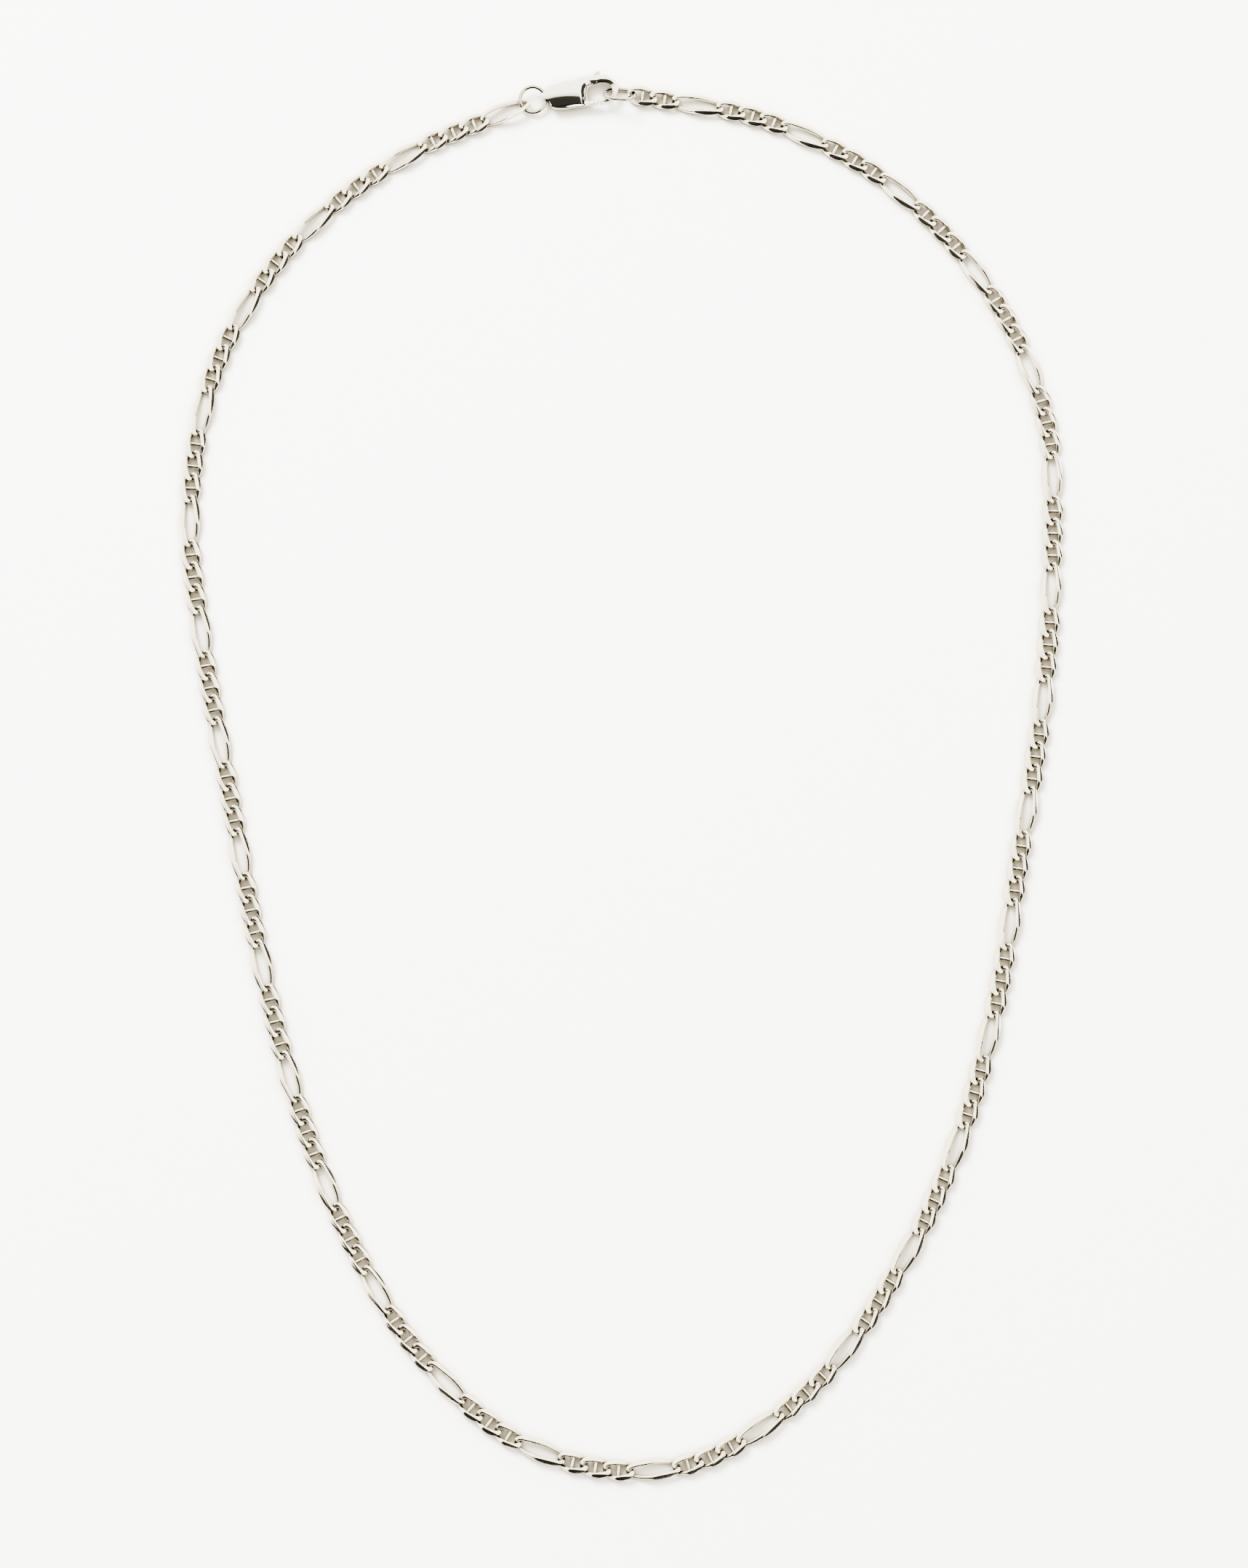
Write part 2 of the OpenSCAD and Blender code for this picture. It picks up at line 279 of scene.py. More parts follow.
def link_wire(outer_len, slimness):
    """The bent and twisted wire, before it is cut."""
    bpy.ops.curve.primitive_bezier_circle_add(radius=0.5)
    section = bpy.context.object
    section.data.resolution_u = 1
    bpy.ops.object.mode_set(mode="EDIT")
    bpy.ops.curve.select_all(action="SELECT")
    bpy.ops.curve.subdivide(number_cuts=3)
    leave_edit()
    corners = section.data.splines[0].bezier_points
    for i, point in enumerate(corners):
        turn = 2 * math.pi * i / len(corners)
        point.co = squarish(turn, slimness * WIRE_W / 2, WIRE_H / 2, WIRE_SQUARENESS)
        point.handle_left_type = "AUTO"
        point.handle_right_type = "AUTO"
    bpy.ops.curve.primitive_bezier_circle_add(radius=1)
    wire = bpy.context.object
    bpy.ops.object.mode_set(mode="EDIT")
    bpy.ops.curve.select_all(action="SELECT")
    bpy.ops.curve.subdivide(number_cuts=PATH_POINTS // 4 - 1)
    leave_edit()
    points = wire.data.splines[0].bezier_points
    for i, point in enumerate(points):
        turn = 2 * math.pi * i / len(points)
        point.co = wire_middle(turn, outer_len)
        point.radius = BOW_SHARE + (1 - BOW_SHARE) * abs(math.sin(turn)) - OVER_SHARE * math.sin(2 * turn)
        point.handle_left_type = "AUTO"
        point.handle_right_type = "AUTO"
    wire.data.dimensions = "3D"
    wire.data.twist_mode = "Z_UP"
    wire.data.resolution_u = 2
    wire.data.bevel_mode = "OBJECT"
    wire.data.bevel_object = section
    only(wire)
    bpy.ops.object.convert(target="MESH")
    bpy.data.objects.remove(section)
    tidy_mesh(wire)
    return wire


def bevel_inside(link, outer_len):
    """Cuts a bevel round the opening of a link, above and below."""
    deep = INNER_BEVEL * math.tan(math.radians(INNER_TILT))
    for up in (1, -1):
        bpy.ops.mesh.primitive_cylinder_add(vertices=INNER_SIDES, radius=1, depth=2)
        plug = bpy.context.object
        for vertex in plug.data.vertices:
            turn = math.atan2(vertex.co.y, vertex.co.x)
            grow = 2 * INNER_BEVEL if up * vertex.co.z > 0 else 0
            half_x = outer_len / 2 - BOW_SHARE * WIRE_W + grow
            rim = squarish(turn, half_x, LINK_W / 2 - WIRE_W + grow, SQUARENESS)
            rim.z = up * CHAIN_H / 2 + math.copysign(deep, vertex.co.z)
            vertex.co = rim
        combine(link, plug, "DIFFERENCE")


def make_link(outer_len, barred, faceted=True, slimness=1.0):
    """A link with its wire, any bar, the flats above and below, and a cut facet on each shoulder."""
    link = link_wire(outer_len, slimness)
    if barred:
        bpy.ops.mesh.primitive_cylinder_add(
            vertices=BAR_SIDES, radius=BAR_R, depth=LINK_W - LIMB_W, rotation=(math.pi / 2, 0, 0)
        )
        bar = bpy.context.object
        combine(link, bar, "UNION")
    for up in (1, -1):
        cut_away(link, (0, 0, up * CHAIN_H / 2), (0, 0, up))
        for side in (1, -1) if faceted else ():
            tilt = math.radians(FACET_TILT)
            turn = math.radians(FACET_TURN)
            normal = Vector((-side * up * math.sin(turn), side * math.cos(turn), 0)) * math.sin(tilt)
            normal.z = up * math.cos(tilt)
            cut_away(link, normal * (FACET_REACH if barred else LONG_FACET_REACH), normal)
    bevel_inside(link, outer_len)
    finish_with(
        link, "BEVEL", width=EDGE_WEAR, segments=1, limit_method="ANGLE", angle_limit=math.radians(EDGE_ANGLE)
    )
    smooth_by(link, LINK_SMOOTH)
    return link


def solids_of(node):
    """Corner points of each loose solid of a node, in millimetres."""
    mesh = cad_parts[node].data
    spots = {}
    spot_of = [spots.setdefault(tuple(round(c, 7) for c in v.co), len(spots)) for v in mesh.vertices]
    group = list(range(len(spots)))

    def root(i):
        while group[i] != i:
            group[i] = group[group[i]]
            i = group[i]
        return i

    for face in mesh.polygons:
        first = root(spot_of[face.vertices[0]])
        for corner in face.vertices[1:]:
            group[root(spot_of[corner])] = first
    solids = {}
    for spot, i in spots.items():
        solids.setdefault(root(i), []).append(Vector(spot) / MM)
    return list(solids.values())


def lie_of(solid):
    """Middle of a link, its direction seen from above and its length."""
    middle = sum(solid, Vector()) / len(solid)
    spread = [p - middle for p in solid]
    xx = sum(p.x * p.x for p in spread)
    yy = sum(p.y * p.y for p in spread)
    xy = sum(p.x * p.y for p in spread)
    angle = 0.5 * math.atan2(2 * xy, xx - yy)
    way = Vector((math.cos(angle), math.sin(angle), 0))
    length = 2 * max(abs(p.dot(way)) for p in spread)
    middle.z = CHAIN_H / 2
    return middle, angle, length


def hold_up(mesh, outer_len, twist):
    """Raises and twists the ring's end of the link that hangs in a ring."""
    for vertex in mesh.vertices:
        share = 0.5 + vertex.co.x / outer_len
        vertex.co = Matrix.Rotation(math.radians(share * twist), 3, "X") @ vertex.co
        vertex.co.z += share * END_RISE


def lay_links(node, ring, twist, seed):
    """Copies the links to their places along one half of the chain, each settled a little its own way."""
    shake = random.Random(seed)
    ring_low, ring_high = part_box(ring)
    ring_middle = (ring_low + ring_high) / 2 / MM
    solids = solids_of(node)
    lies = [lie_of(solid) for solid in solids]
    nearest = min(range(len(lies)), key=lambda i: (lies[i][0] - ring_middle).length)
    copies = []
    for i, (middle, angle, length) in enumerate(lies):
        pattern = long_link if length > LONG_LINK else short_link
        if i == nearest and pattern is long_link:
            pattern = plain_link
        copy = pattern.copy()
        copy.data = pattern.data.copy()
        bpy.context.scene.collection.objects.link(copy)
        settle = Matrix.Rotation(math.radians(shake.uniform(-MOST_ROLL, MOST_ROLL)), 4, "X")
        settle = settle @ Matrix.Rotation(math.radians(shake.uniform(-MOST_PITCH, MOST_PITCH)), 4, "Y")
        if i == nearest:
            towards = ring_middle - middle
            if towards.dot(Vector((math.cos(angle), math.sin(angle), 0))) < 0:
                angle += math.pi
            hold_up(copy.data, length, twist)
            settle = Matrix.Identity(4)
        place = Matrix.Translation(middle) @ Matrix.Rotation(angle, 4, "Z") @ settle
        copy.data.transform(place)
        lowest = min(vertex.co.z for vertex in copy.data.vertices)
        copy.data.transform(Matrix.Translation((0, 0, max(0, -lowest))))
        copy.data.transform(Matrix.Scale(MM, 4))
        copies.append(copy)
    bpy.ops.object.select_all(action="DESELECT")
    for copy in copies:
        copy.select_set(True)
    bpy.context.view_layer.objects.active = copies[0]
    bpy.ops.object.join()
    return bpy.context.object


long_len, short_len = (
    pick(lie_of(solid)[2] for solid in solids_of("chain_left")) for pick in (max, min)
)
long_link = make_link(long_len, False)
short_link = make_link(short_len, True)
plain_link = make_link(long_len, False, faceted=False, slimness=FIRST_SLIMNESS)
left = lay_links("chain_left", "jump_ring", FIRST_TWIST, LEFT_SEED)
put_on(left, "chain_left_links", "necklace", "chain_silver", chain_silver, "chain_left")
right = lay_links("chain_right", "end_ring", LAST_TWIST, RIGHT_SEED)
put_on(right, "chain_right_links", "necklace", "chain_silver", chain_silver, "chain_right")
bpy.data.objects.remove(long_link)
bpy.data.objects.remove(short_link)
bpy.data.objects.remove(plain_link)


# The rings: bent wire, whose ends meet in a soldered seam.
JUMP_LEAN = (11.3, -1.5, 0)
END_LEAN = (-47, 0, -4.2)
JUMP_D = 3.68
END_RING = (4.3, 3.1)
RING_WIRE = 0.49
ROUND_RING_SHIFT = Vector((-0.12, -0.25, 0))
RING_SCREEN = 0.41
RING_STEPS = 96
WIRE_STEPS = 32
RING_SMOOTH = 30

# Shallow flats of the round ring's wire, with their tilt and their distance from the wire's middle
FLAT_TILT = math.radians(21)
ROUND_RING_FLAT = 0.21

# Seam of a ring, with its width, its depth, and where it lies on the round one
SEAM_GAP = 0.015
SEAM_DEPTH = 0.02
SEAM_SIDES = 48
SEAM_AT = math.radians(200)


def ring_frame(node, lean):
    """Middle and lean of a ring, from its box in the frame. The round ring has slid a little."""
    ring_low, ring_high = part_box(node)
    slid = ROUND_RING_SHIFT if node == "jump_ring" else Vector()
    turn = Matrix.Rotation(math.radians(lean[2]), 4, "Z")
    turn = turn @ Matrix.Rotation(math.radians(lean[1]), 4, "Y")
    turn = turn @ Matrix.Rotation(math.radians(lean[0]), 4, "X")
    return Matrix.Translation((ring_low + ring_high) / 2 / MM + slid) @ turn


def flatten_wire(ring, reach, flat):
    """Presses two shallow flats on the top and two on the underside of a ring's wire."""
    for vertex in ring.data.vertices:
        out = Vector((vertex.co.x, vertex.co.y, 0)).normalized()
        middle = out * reach
        offset = vertex.co - middle
        beyond = abs(offset.dot(out)) * math.sin(FLAT_TILT) + abs(offset.z) * math.cos(FLAT_TILT)
        if beyond > flat:
            vertex.co = middle + offset * flat / beyond


def make_ring(length, width, wire, seam_turn, flat=None):
    """A round ring, or an oval one pulled apart along X, with a fine seam where its wire was closed."""
    reach = (width - RING_SCREEN) / 2
    bpy.ops.mesh.primitive_torus_add(
        major_segments=RING_STEPS, minor_segments=WIRE_STEPS, major_radius=reach, minor_radius=wire / 2
    )
    ring = bpy.context.object
    if flat:
        flatten_wire(ring, reach, flat)
    edit(ring)
    bpy.ops.mesh.bisect(plane_co=(0, 0, 0), plane_no=(1, 0, 0), threshold=CUT_NEARNESS)
    leave_edit()
    for side in (1, -1):
        edit(ring)
        bpy.ops.mesh.select_all(action="DESELECT")
        leave_edit()
        for vertex in ring.data.vertices:
            vertex.select = side * vertex.co.x > SAME_POINT
        bpy.ops.object.mode_set(mode="EDIT")
        bpy.ops.transform.translate(value=(side * (length - width) / 2, 0, 0))
        leave_edit()
    seam = Matrix.Rotation(seam_turn, 3, "Z") @ Vector((1, 0, 0))
    across = Matrix.Rotation(seam_turn, 3, "Z") @ Vector((0, 1, 0))
    bpy.ops.mesh.primitive_cylinder_add(vertices=SEAM_SIDES, radius=wire, depth=SEAM_GAP)
    groove = bpy.context.object
    bpy.ops.mesh.primitive_cylinder_add(vertices=SEAM_SIDES, radius=wire / 2 - SEAM_DEPTH, depth=2 * SEAM_GAP)
    core = bpy.context.object
    combine(groove, core, "DIFFERENCE")
    groove.data.transform(across.to_track_quat("Z", "Y").to_matrix().to_4x4())
    groove.data.transform(Matrix.Translation(seam * (length - RING_SCREEN) / 2))
    combine(ring, groove, "DIFFERENCE")
    smooth_by(ring, RING_SMOOTH)
    return ring


def place_ring(ring, node, lean):
    ring.data.transform(ring_frame(node, lean))
    ring.data.transform(Matrix.Scale(MM, 4))


jump = make_ring(JUMP_D, JUMP_D, RING_WIRE, SEAM_AT, ROUND_RING_FLAT)
place_ring(jump, "jump_ring", JUMP_LEAN)
put_on(jump, "round_ring", "necklace", "ring_silver", ring_silver, "jump_ring")
oval = make_ring(END_RING[0], END_RING[1], RING_WIRE, 0)
place_ring(oval, "end_ring", END_LEAN)
put_on(oval, "oval_ring", "necklace", "ring_silver", ring_silver, "end_ring")


# The clasp is shaped along +X from its tail, with its middle plane at z = 0, and then laid at its pin.
HALF_THICK = 1.15
BODY_MID_Y = -0.18
DOME_ACROSS_R = 2.4
DOME_ALONG_R = 11
DOME_ALONG_X = 4.2
HOOK_HALF = 0.5
HOOK_RAMP = (1.5, 6.8)
NOSE_R = 0.69
LEVER_T = 0.6
CLASP_SMOOTH = 35

# Eye in the tail, cut right across it, and the channel that frees the round ring
EYE_R = 0.46
EYE_DEPTH = 6
BORE_SIDES = 48
CHANNEL = 0.33
CHANNEL_STEPS = (64, 24)

# Rims of the flat outlines, how finely they are drawn, and the size of the grains that the body is shaped in
RIM = 0.24
LEVER_RIM = 0.06
OUTLINE_STEPS = 8
RIM_STEPS = 3
EDGE_STEPS = 40
GRAIN = 0.065

# Polish of the body: how strong it is, and how many rounds it gets
POLISH = 0.5
POLISH_ROUNDS = 3

# Slot for the lever in the clasp's back, and the flat on its underside
SLOT_HALF = 0.35
SLOT_SIZE = (3.4, 4)
SLOT_MIDDLE = (6.2, 2.9, 0)
UNDERSIDE_FLAT = 0.03

# How sharply the dome runs into the hook, and how far the blend of the two is sunk
BLEND = 9
BLEND_SINK = 0.02

# Least square of a height, so that the dome and the nose never run out
DOME_LEAST = 0.2
NOSE_LEAST = 0.01

# Bevel round the opening: its tilt, and the widths of its straight part, its rounding and the steeper edge
# inside it, each at the body and at the hook
BEVEL_TILT = math.radians(40)
BEVEL_STRAIGHT = (0.74, 0.4)
BEVEL_ROUND = (0.18, 0.18)
EDGE_TILT = math.radians(62)
EDGE_WIDTH = (0.25, 0.16)
BEVEL_FROM_X = 5.9
BEVEL_TO_X = 7.2
LEAST_HALF = 0.17

# Gate block on the lever's end
GATE_HALF = 0.42
GATE_SIZE = (1.2, 0.54)
GATE_MIDDLE = (6.58, -1.8, 0)
GATE_ROUNDING = 0.1
GATE_GROOVES = (6.62, 6.72)
GATE_GROOVE_SIZE = (0.035, 1, 0.1)

# Grooves across the thumb tab, from the first one on
THUMB_FIRST = (7.5, 1.96)
THUMB_STEP = (0.06, 0.14)
THUMB_GROOVE_SIZE = (0.9, 0.045, 0.1)
THUMB_TURN = 20

# Outline of the body and hook seen from above, from the nose over the back and round to the gate
# x, y, sharp
BODY_LINE = (
    (0.0, 0.0, 0),
    (0.12, 0.42, 0),
    (0.6, 0.72, 0),
    (1.79, 1.28, 0),
    (4.23, 1.68, 0),
    (6.57, 1.76, 0),
    (8.0, 1.75, 0),
    (9.25, 1.22, 0),
    (9.93, 0.0, 0),
    (9.62, -1.12, 0),
    (8.75, -1.86, 0),
    (7.35, -2.1, 1),
    (7.5, -1.6, 1),
    (8.2, -1.5, 0),
    (8.95, -1.1, 0),
    (9.19, -0.4, 0),
    (8.85, 0.35, 0),
    (8.1, 0.62, 0),
    (6.9, 0.6, 0),
    (6.25, 0.42, 0),
    (5.92, -0.1, 0),
    (5.9, -1.5, 1),
    (5.45, -2.11, 1),
    (4.4, -2.1, 0),
    (2.1, -2.12, 0),
    (1.2, -1.82, 0),
    (0.72, -1.2, 0),
    (0.3, -0.66, 0),
    (0.08, -0.38, 0),
)

# Points of that outline: from the hook's tip round the opening to the corner under the body, where the bevel
# runs straight on, and then along the body's lower edge to the nose
OPENING_FIRST = 12
OPENING_LAST = 22
OPENING_END = (5.9, -3.0, 1)
FRONT_LAST = 26
FRONT_WIDTH = 0.24
FRONT_STEEPNESS = 1.5

# Arm of the lever from its heel up to the thumb tab, and its gate to the hook's tip
# x, y, sharp
LEVER_LINE = (
    (5.42, -1.1, 0),
    (5.6, 0.35, 0),
    (6.3, 0.92, 0),
    (7.4, 1.12, 0),
    (7.76, 1.7, 0),
    (7.8, 2.28, 0),
    (7.66, 2.37, 0),
    (7.4, 2.26, 0),
    (6.75, 1.72, 0),
    (5.2, 1.2, 0),
    (4.48, -1.1, 0),
    (4.45, -1.42, 0),
    (4.72, -1.76, 0),
    (5.3, -1.72, 0),
    (5.52, -2.09, 1),
    (7.18, -2.08, 1),
    (7.36, -1.52, 1),
    (5.9, -1.5, 1),
)


def draw_line(spline, line):
    """Gives a curve the points of a line, rounded or sharp."""
    spline.bezier_points.add(len(line) - len(spline.bezier_points))
    for point, (x, y, sharp) in zip(spline.bezier_points, line):
        point.co = (x, y, 0)
        point.handle_left_type = "VECTOR" if sharp else "AUTO"
        point.handle_right_type = "VECTOR" if sharp else "AUTO"


def flat_outline(line, half_thick, rim):
    """A closed outline as a filled flat curve, thickened both ways, with rounded rims."""
    bpy.ops.curve.primitive_bezier_circle_add(radius=1)
    curve = bpy.context.object
    curve.data.dimensions = "2D"
    curve.data.fill_mode = "BOTH"
    draw_line(curve.data.splines[0], line)
    curve.data.resolution_u = OUTLINE_STEPS
    curve.data.bevel_depth = rim
    curve.data.bevel_resolution = RIM_STEPS
    curve.data.extrude = half_thick - rim
    curve.data.offset = -rim
    only(curve)
    bpy.ops.object.convert(target="MESH")
    tidy_mesh(curve)
    return curve


def edge_finder(line):
    """An edge of the clasp, ready to find how near a point lies to it."""
    bpy.ops.curve.primitive_bezier_curve_add()
    edge = bpy.context.object
    draw_line(edge.data.splines[0], line)
    edge.data.resolution_u = EDGE_STEPS
    only(edge)
    bpy.ops.object.convert(target="MESH")
    near = KDTree(len(edge.data.vertices))
    for i, vertex in enumerate(edge.data.vertices):
        near.insert(vertex.co, i)
    near.balance()
    bpy.data.objects.remove(edge)
    return near


def bevel_drop(distance, x):
    """How far the bevel round the opening has dropped at a distance from its edge."""
    share = min(1, max(0, (x - BEVEL_FROM_X) / (BEVEL_TO_X - BEVEL_FROM_X)))
    straight, rounding, edge = (
        at_body + (at_hook - at_body) * share
        for at_body, at_hook in (BEVEL_STRAIGHT, BEVEL_ROUND, EDGE_WIDTH)
    )
    radius = rounding / math.sin(BEVEL_TILT)
    within = min(rounding, max(0, straight + rounding - distance))
    drop = radius - math.sqrt(radius ** 2 - within ** 2)
    drop += max(0, straight - distance) * math.tan(BEVEL_TILT)
    return drop + max(0, edge - distance) * (math.tan(EDGE_TILT) - math.tan(BEVEL_TILT))


def rise_at(x, y):
    """Half thickness of the clasp: domed across and along, a round nose, and a thinner hook."""
    across = DOME_ACROSS_R - math.sqrt(max(DOME_LEAST, DOME_ACROSS_R ** 2 - (y - BODY_MID_Y) ** 2))
    along = DOME_ALONG_R - math.sqrt(DOME_ALONG_R ** 2 - (x - DOME_ALONG_X) ** 2)
    dome = HALF_THICK - across - along
    ramp = min(1, max(0, (x - HOOK_RAMP[0]) / (HOOK_RAMP[1] - HOOK_RAMP[0])))
    hook = HOOK_HALF * ramp * ramp * (3 - 2 * ramp)
    height = math.log(math.exp(BLEND * dome) + math.exp(BLEND * hook)) / BLEND - BLEND_SINK
    if x < NOSE_R:
        height = min(height, math.sqrt(max(NOSE_LEAST, NOSE_R ** 2 - (x - NOSE_R) ** 2)))
    return min(HALF_THICK, height)


def clasp_place():
    """Where the clasp's own frame lies: its pin stands at the rivet, and it is turned a little."""
    pin_low, pin_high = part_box("clasp_rivet")
    body_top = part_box("clasp_body")[1].z
    pin = (pin_low + pin_high) / 2 / MM
    turn = Matrix.Rotation(math.radians(CLASP_TURN), 4, "Z")
    middle_z = body_top / MM - HALF_THICK
    return Matrix.Translation((pin.x, pin.y, middle_z)) @ turn @ Matrix.Translation(-PIVOT)


def make_body(place):
    body = flat_outline(BODY_LINE, HALF_THICK, RIM)
    finish_with(body, "REMESH", mode="VOXEL", voxel_size=GRAIN)
    opening = edge_finder(BODY_LINE[OPENING_FIRST:OPENING_LAST] + (OPENING_END,))
    front = edge_finder(BODY_LINE[OPENING_LAST:FRONT_LAST + 1])
    for vertex in body.data.vertices:
        x, y = vertex.co.xy
        above = Vector((x, y, 0))
        height = rise_at(x, y) - bevel_drop(opening.find(above)[2], x)
        height -= FRONT_STEEPNESS * max(0, FRONT_WIDTH - front.find(above)[2])
        height = max(LEAST_HALF, height)
        vertex.co.z *= height / HALF_THICK
    finish_with(body, "SMOOTH", factor=POLISH, iterations=POLISH_ROUNDS)
    bpy.ops.mesh.primitive_cylinder_add(
        vertices=BORE_SIDES,
        radius=EYE_R,
        depth=EYE_DEPTH,
        location=(NOSE_R, 0, 0),
        rotation=(math.pi / 2, 0, 0),
    )
    combine(body, bpy.context.object, "DIFFERENCE")
    bpy.ops.mesh.primitive_torus_add(
        major_segments=CHANNEL_STEPS[0],
        minor_segments=CHANNEL_STEPS[1],
        major_radius=(JUMP_D - RING_SCREEN) / 2,
        minor_radius=CHANNEL,
    )
    channel = bpy.context.object
    channel.data.transform(place.inverted() @ ring_frame("jump_ring", JUMP_LEAN))
    combine(body, channel, "DIFFERENCE")
    bpy.ops.mesh.primitive_cube_add(size=1)
    slot_cut = bpy.context.object
    slot_cut.data.transform(Matrix.Diagonal((*SLOT_SIZE, 2 * SLOT_HALF, 1)))
    slot_cut.data.transform(Matrix.Translation(SLOT_MIDDLE))
    combine(body, slot_cut, "DIFFERENCE")
    cut_away(body, (0, 0, UNDERSIDE_FLAT - HALF_THICK), (0, 0, -1))
    smooth_by(body, CLASP_SMOOTH)
    return body


def lay_clasp_piece(piece, place):
    piece.data.transform(place)
    piece.data.transform(Matrix.Scale(MM, 4))


clasp_lies = clasp_place()
clasp = make_body(clasp_lies)
lay_clasp_piece(clasp, clasp_lies)
put_on(clasp, "clasp_shell", "necklace", "clasp_silver", clasp_silver, "clasp_body")


def groove_at(piece, place, size, turn):
    """Cuts a straight groove into a piece."""
    bpy.ops.mesh.primitive_cube_add(size=1)
    cutter = bpy.context.object
    cutter.data.transform(Matrix.Diagonal((*size, 1)))
    cutter.data.transform(Matrix.Rotation(math.radians(turn), 4, "Z"))
    cutter.data.transform(Matrix.Translation(place))
    combine(piece, cutter, "DIFFERENCE")


def make_lever():
    """The lever's plate, with the thicker gate block on its end and thumb grooves across its tab."""
    lever = flat_outline(LEVER_LINE, LEVER_T / 2, LEVER_RIM)
    bpy.ops.mesh.primitive_cube_add(size=1)
    gate = bpy.context.object
    gate.data.transform(Matrix.Diagonal((*GATE_SIZE, 2 * GATE_HALF, 1)))
    gate.data.transform(Matrix.Translation(GATE_MIDDLE))
    finish_with(gate, "BEVEL", width=GATE_ROUNDING, segments=3)
    combine(lever, gate, "UNION")
    for x in GATE_GROOVES:
        groove_at(lever, (x, GATE_MIDDLE[1], GATE_HALF), GATE_GROOVE_SIZE, 0)
    for step in (0, 1, 2):
        x, y = (first + move * step for first, move in zip(THUMB_FIRST, THUMB_STEP))
        groove_at(lever, (x, y, LEVER_T / 2), THUMB_GROOVE_SIZE, THUMB_TURN)
    smooth_by(lever, CLASP_SMOOTH)
    return lever


lever = make_lever()
lay_clasp_piece(lever, clasp_lies)
put_on(lever, "lever_with_tab", "lever", "clasp_silver", clasp_silver, "clasp_lever")


# The hinge pin: its radius, the heights of its ends, and the rounding of its edges
PIN_R = 0.3
PIN_LOW = -0.9
PIN_HIGH = 0.5
PIN_ROUNDING = 0.06

bpy.ops.mesh.primitive_cylinder_add(vertices=BORE_SIDES, radius=PIN_R, depth=PIN_HIGH - PIN_LOW)
pin = bpy.context.object
finish_with(pin, "BEVEL", width=PIN_ROUNDING, segments=3, limit_method="ANGLE")
smooth_by(pin, CLASP_SMOOTH)
pin.data.transform(Matrix.Translation((PIVOT.x, PIVOT.y, (PIN_LOW + PIN_HIGH) / 2)))
lay_clasp_piece(pin, clasp_lies)
put_on(pin, "hinge_pin", "necklace", "clasp_silver", clasp_silver, "clasp_rivet")


# Table, light and camera
FLOOR = 12.0
FLOOR_Z = -0.00002

# Tones of the paper, from open table to where metal is near, and how near that is: a shadow painted round the
# metal
PAPER = (0.87, 0.885, 0.9, 1)
SHADOW_MIDDLE = (0.74, 0.7, 0.6, 1)
SHADOW_DARK = (0.17, 0.14, 0.085, 1)
SHADOW_REACH = 1.8 * MM
SHADOW_SAMPLES = 12

# Where on the scale from hidden to open each tone stands, and the paper's own finish
DARK_AT = 0.3
MIDDLE_AT = 0.7
PAPER_AT = 0.95
PAPER_ROUGHNESS = 0.6
PAPER_GLOSS = 0.1
PAPER_GLOW = 1.0

bpy.ops.mesh.primitive_plane_add(size=FLOOR, location=(0, 0, FLOOR_Z))
table = bpy.context.object
table.name = "table"
paper = bpy.data.materials.new("pale table")
paper.use_nodes = True
paper_shader = paper.node_tree.nodes["Principled BSDF"]
paper_shader.inputs["Roughness"].default_value = PAPER_ROUGHNESS
paper_shader.inputs["Specular IOR Level"].default_value = PAPER_GLOSS
near_metal = paper.node_tree.nodes.new("ShaderNodeAmbientOcclusion")
near_metal.inputs["Distance"].default_value = SHADOW_REACH
near_metal.samples = SHADOW_SAMPLES
shadow_tone = paper.node_tree.nodes.new("ShaderNodeValToRGB")
tones = shadow_tone.color_ramp.elements
tones[0].position = DARK_AT
tones[0].color = SHADOW_DARK
tones[1].position = PAPER_AT
tones[1].color = PAPER
middle_tone = tones.new(MIDDLE_AT)
middle_tone.color = SHADOW_MIDDLE
paper.node_tree.links.new(near_metal.outputs["AO"], shadow_tone.inputs["Fac"])
paper.node_tree.links.new(shadow_tone.outputs["Color"], paper_shader.inputs["Base Color"])
# The paper also glows in these tones, so the glow is dimmer inside the painted shadow
paper.node_tree.links.new(shadow_tone.outputs["Color"], paper_shader.inputs["Emission Color"])
paper_shader.inputs["Emission Strength"].default_value = PAPER_GLOW
table.data.materials.append(paper)


# Tone of the studio by how near a direction is to the dark gap: 1 is its middle, 0 is square to it
# nearness, tone
STUDIO_TONES = (
    (0.0, 0.34),
    (0.33, 0.34),
    (0.48, 0.32),
    (0.64, 0.26),
    (0.74, 0.17),
    (0.785, 0.12),
    (0.81, 0.0018),
    (1.0, 0.0012),
)
STUDIO_TINT = (1, 0.95, 0.8)
STUDIO_STRENGTH = 20.0
GAP_TILT = math.radians(50)
GAP_AZIMUTH = math.radians(-111)

# Dark skirt of the studio: the way in which height is counted, the heights at which it ends, and its tone
SKIRT_UP = (-0.2, 0.3, 1)
SKIRT_RANGE = (0.19, 0.26)
SKIRT_TONE = 0.005
LEAST_TONE = (0.0012, 0.0011, 0.0009)

# What the camera sees past the table
BACKDROP = (0.6, 0.6, 0.59, 1)


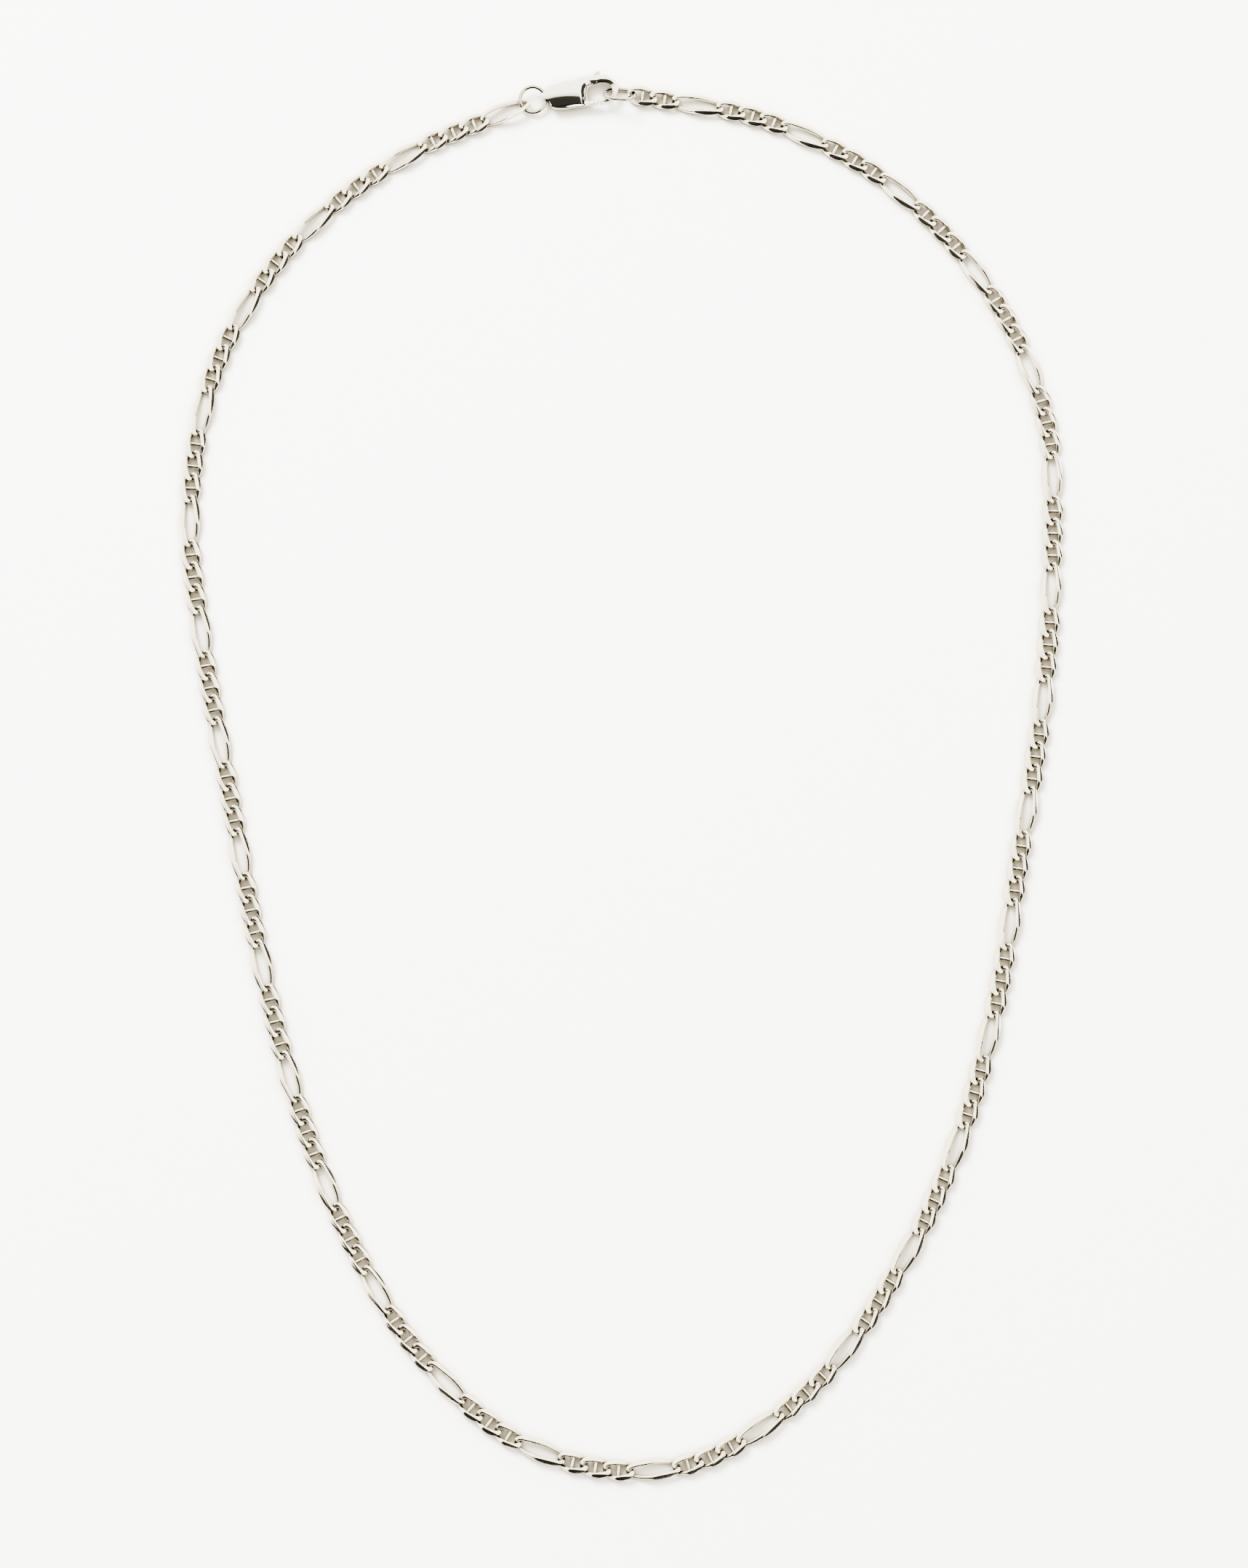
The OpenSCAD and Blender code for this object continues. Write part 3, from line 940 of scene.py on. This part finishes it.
def studio_sky():
    """Pale studio all round, with a dark gap in front, grey round the gap, and a dark skirt low down."""
    world = bpy.data.worlds.new("studio")
    world.use_nodes = True
    bpy.context.scene.world = world
    nodes = world.node_tree.nodes
    links = world.node_tree.links
    sky = nodes["Background"]
    way = nodes.new("ShaderNodeTexCoord")
    near = nodes.new("ShaderNodeVectorMath")
    near.operation = "DOT_PRODUCT"
    near.inputs[1].default_value = (
        math.sin(GAP_TILT) * math.cos(GAP_AZIMUTH),
        math.sin(GAP_TILT) * math.sin(GAP_AZIMUTH),
        math.cos(GAP_TILT),
    )
    links.new(way.outputs["Generated"], near.inputs[0])
    tones = nodes.new("ShaderNodeValToRGB")
    stops = tones.color_ramp.elements
    for i, (nearness, tone) in enumerate(STUDIO_TONES):
        stop = stops[i] if i < 2 else stops.new(nearness)
        stop.position = nearness
        stop.color = (*(tone * part for part in STUDIO_TINT), 1)
    links.new(near.outputs["Value"], tones.inputs["Fac"])
    height = nodes.new("ShaderNodeVectorMath")
    height.operation = "DOT_PRODUCT"
    height.inputs[1].default_value = SKIRT_UP
    links.new(way.outputs["Generated"], height.inputs[0])
    low = nodes.new("ShaderNodeMapRange")
    low.interpolation_type = "SMOOTHSTEP"
    low.inputs["From Min"].default_value = SKIRT_RANGE[0]
    low.inputs["From Max"].default_value = SKIRT_RANGE[1]
    low.inputs["To Min"].default_value = SKIRT_TONE
    low.inputs["To Max"].default_value = 1
    links.new(height.outputs["Value"], low.inputs["Value"])
    dimmed = nodes.new("ShaderNodeVectorMath")
    dimmed.operation = "SCALE"
    links.new(tones.outputs["Color"], dimmed.inputs[0])
    links.new(low.outputs["Result"], dimmed.inputs["Scale"])
    lifted = nodes.new("ShaderNodeVectorMath")
    lifted.operation = "ADD"
    lifted.inputs[1].default_value = LEAST_TONE
    links.new(dimmed.outputs["Vector"], lifted.inputs[0])
    seen = nodes.new("ShaderNodeLightPath")
    shown = nodes.new("ShaderNodeMix")
    shown.data_type = "RGBA"
    shown.inputs["B"].default_value = BACKDROP
    links.new(seen.outputs["Is Camera Ray"], shown.inputs["Factor"])
    links.new(lifted.outputs["Vector"], shown.inputs["A"])
    links.new(shown.outputs["Result"], sky.inputs["Color"])
    sky.inputs["Strength"].default_value = STUDIO_STRENGTH


studio_sky()


def soft_light(name, place, size, power, colour):
    bpy.ops.object.light_add(type="AREA", location=place)
    light = bpy.context.object
    light.name = name
    light.data.shape = "RECTANGLE"
    light.data.size = size[0]
    light.data.size_y = size[1]
    light.data.energy = power
    light.data.color = colour
    light.visible_glossy = False
    light.rotation_euler = (-Vector(place)).to_track_quat("-Z", "Y").to_euler()


# One soft white light from behind on the left, which the silver doesn't reflect
KEY_PLACE = (-0.45, 0.7, 0.75)
KEY_SIZE = (0.5, 0.5)
KEY_POWER = 99
KEY_COLOUR = (1.0, 1.0, 1.0)

soft_light("key", KEY_PLACE, KEY_SIZE, KEY_POWER, KEY_COLOUR)


# The camera stands over the bottom of the loop and leans towards the clasp.
CAMERA = Vector((0.283, -85.754, 590.524)) * MM
CAMERA_TILT = math.radians(8)
IMAGE_LONG_SIDE = 2156
FOCAL_PIXELS = 6500
SENSOR_WIDTH = 36
NEAREST_SEEN = 0.01
FARTHEST_SEEN = 50

bpy.ops.object.camera_add(location=CAMERA, rotation=(CAMERA_TILT, 0, 0))
camera = bpy.context.object
camera.data.sensor_width = SENSOR_WIDTH
camera.data.lens = FOCAL_PIXELS / IMAGE_LONG_SIDE * SENSOR_WIDTH
camera.data.clip_start = NEAREST_SEEN
camera.data.clip_end = FARTHEST_SEEN
bpy.context.scene.camera = camera
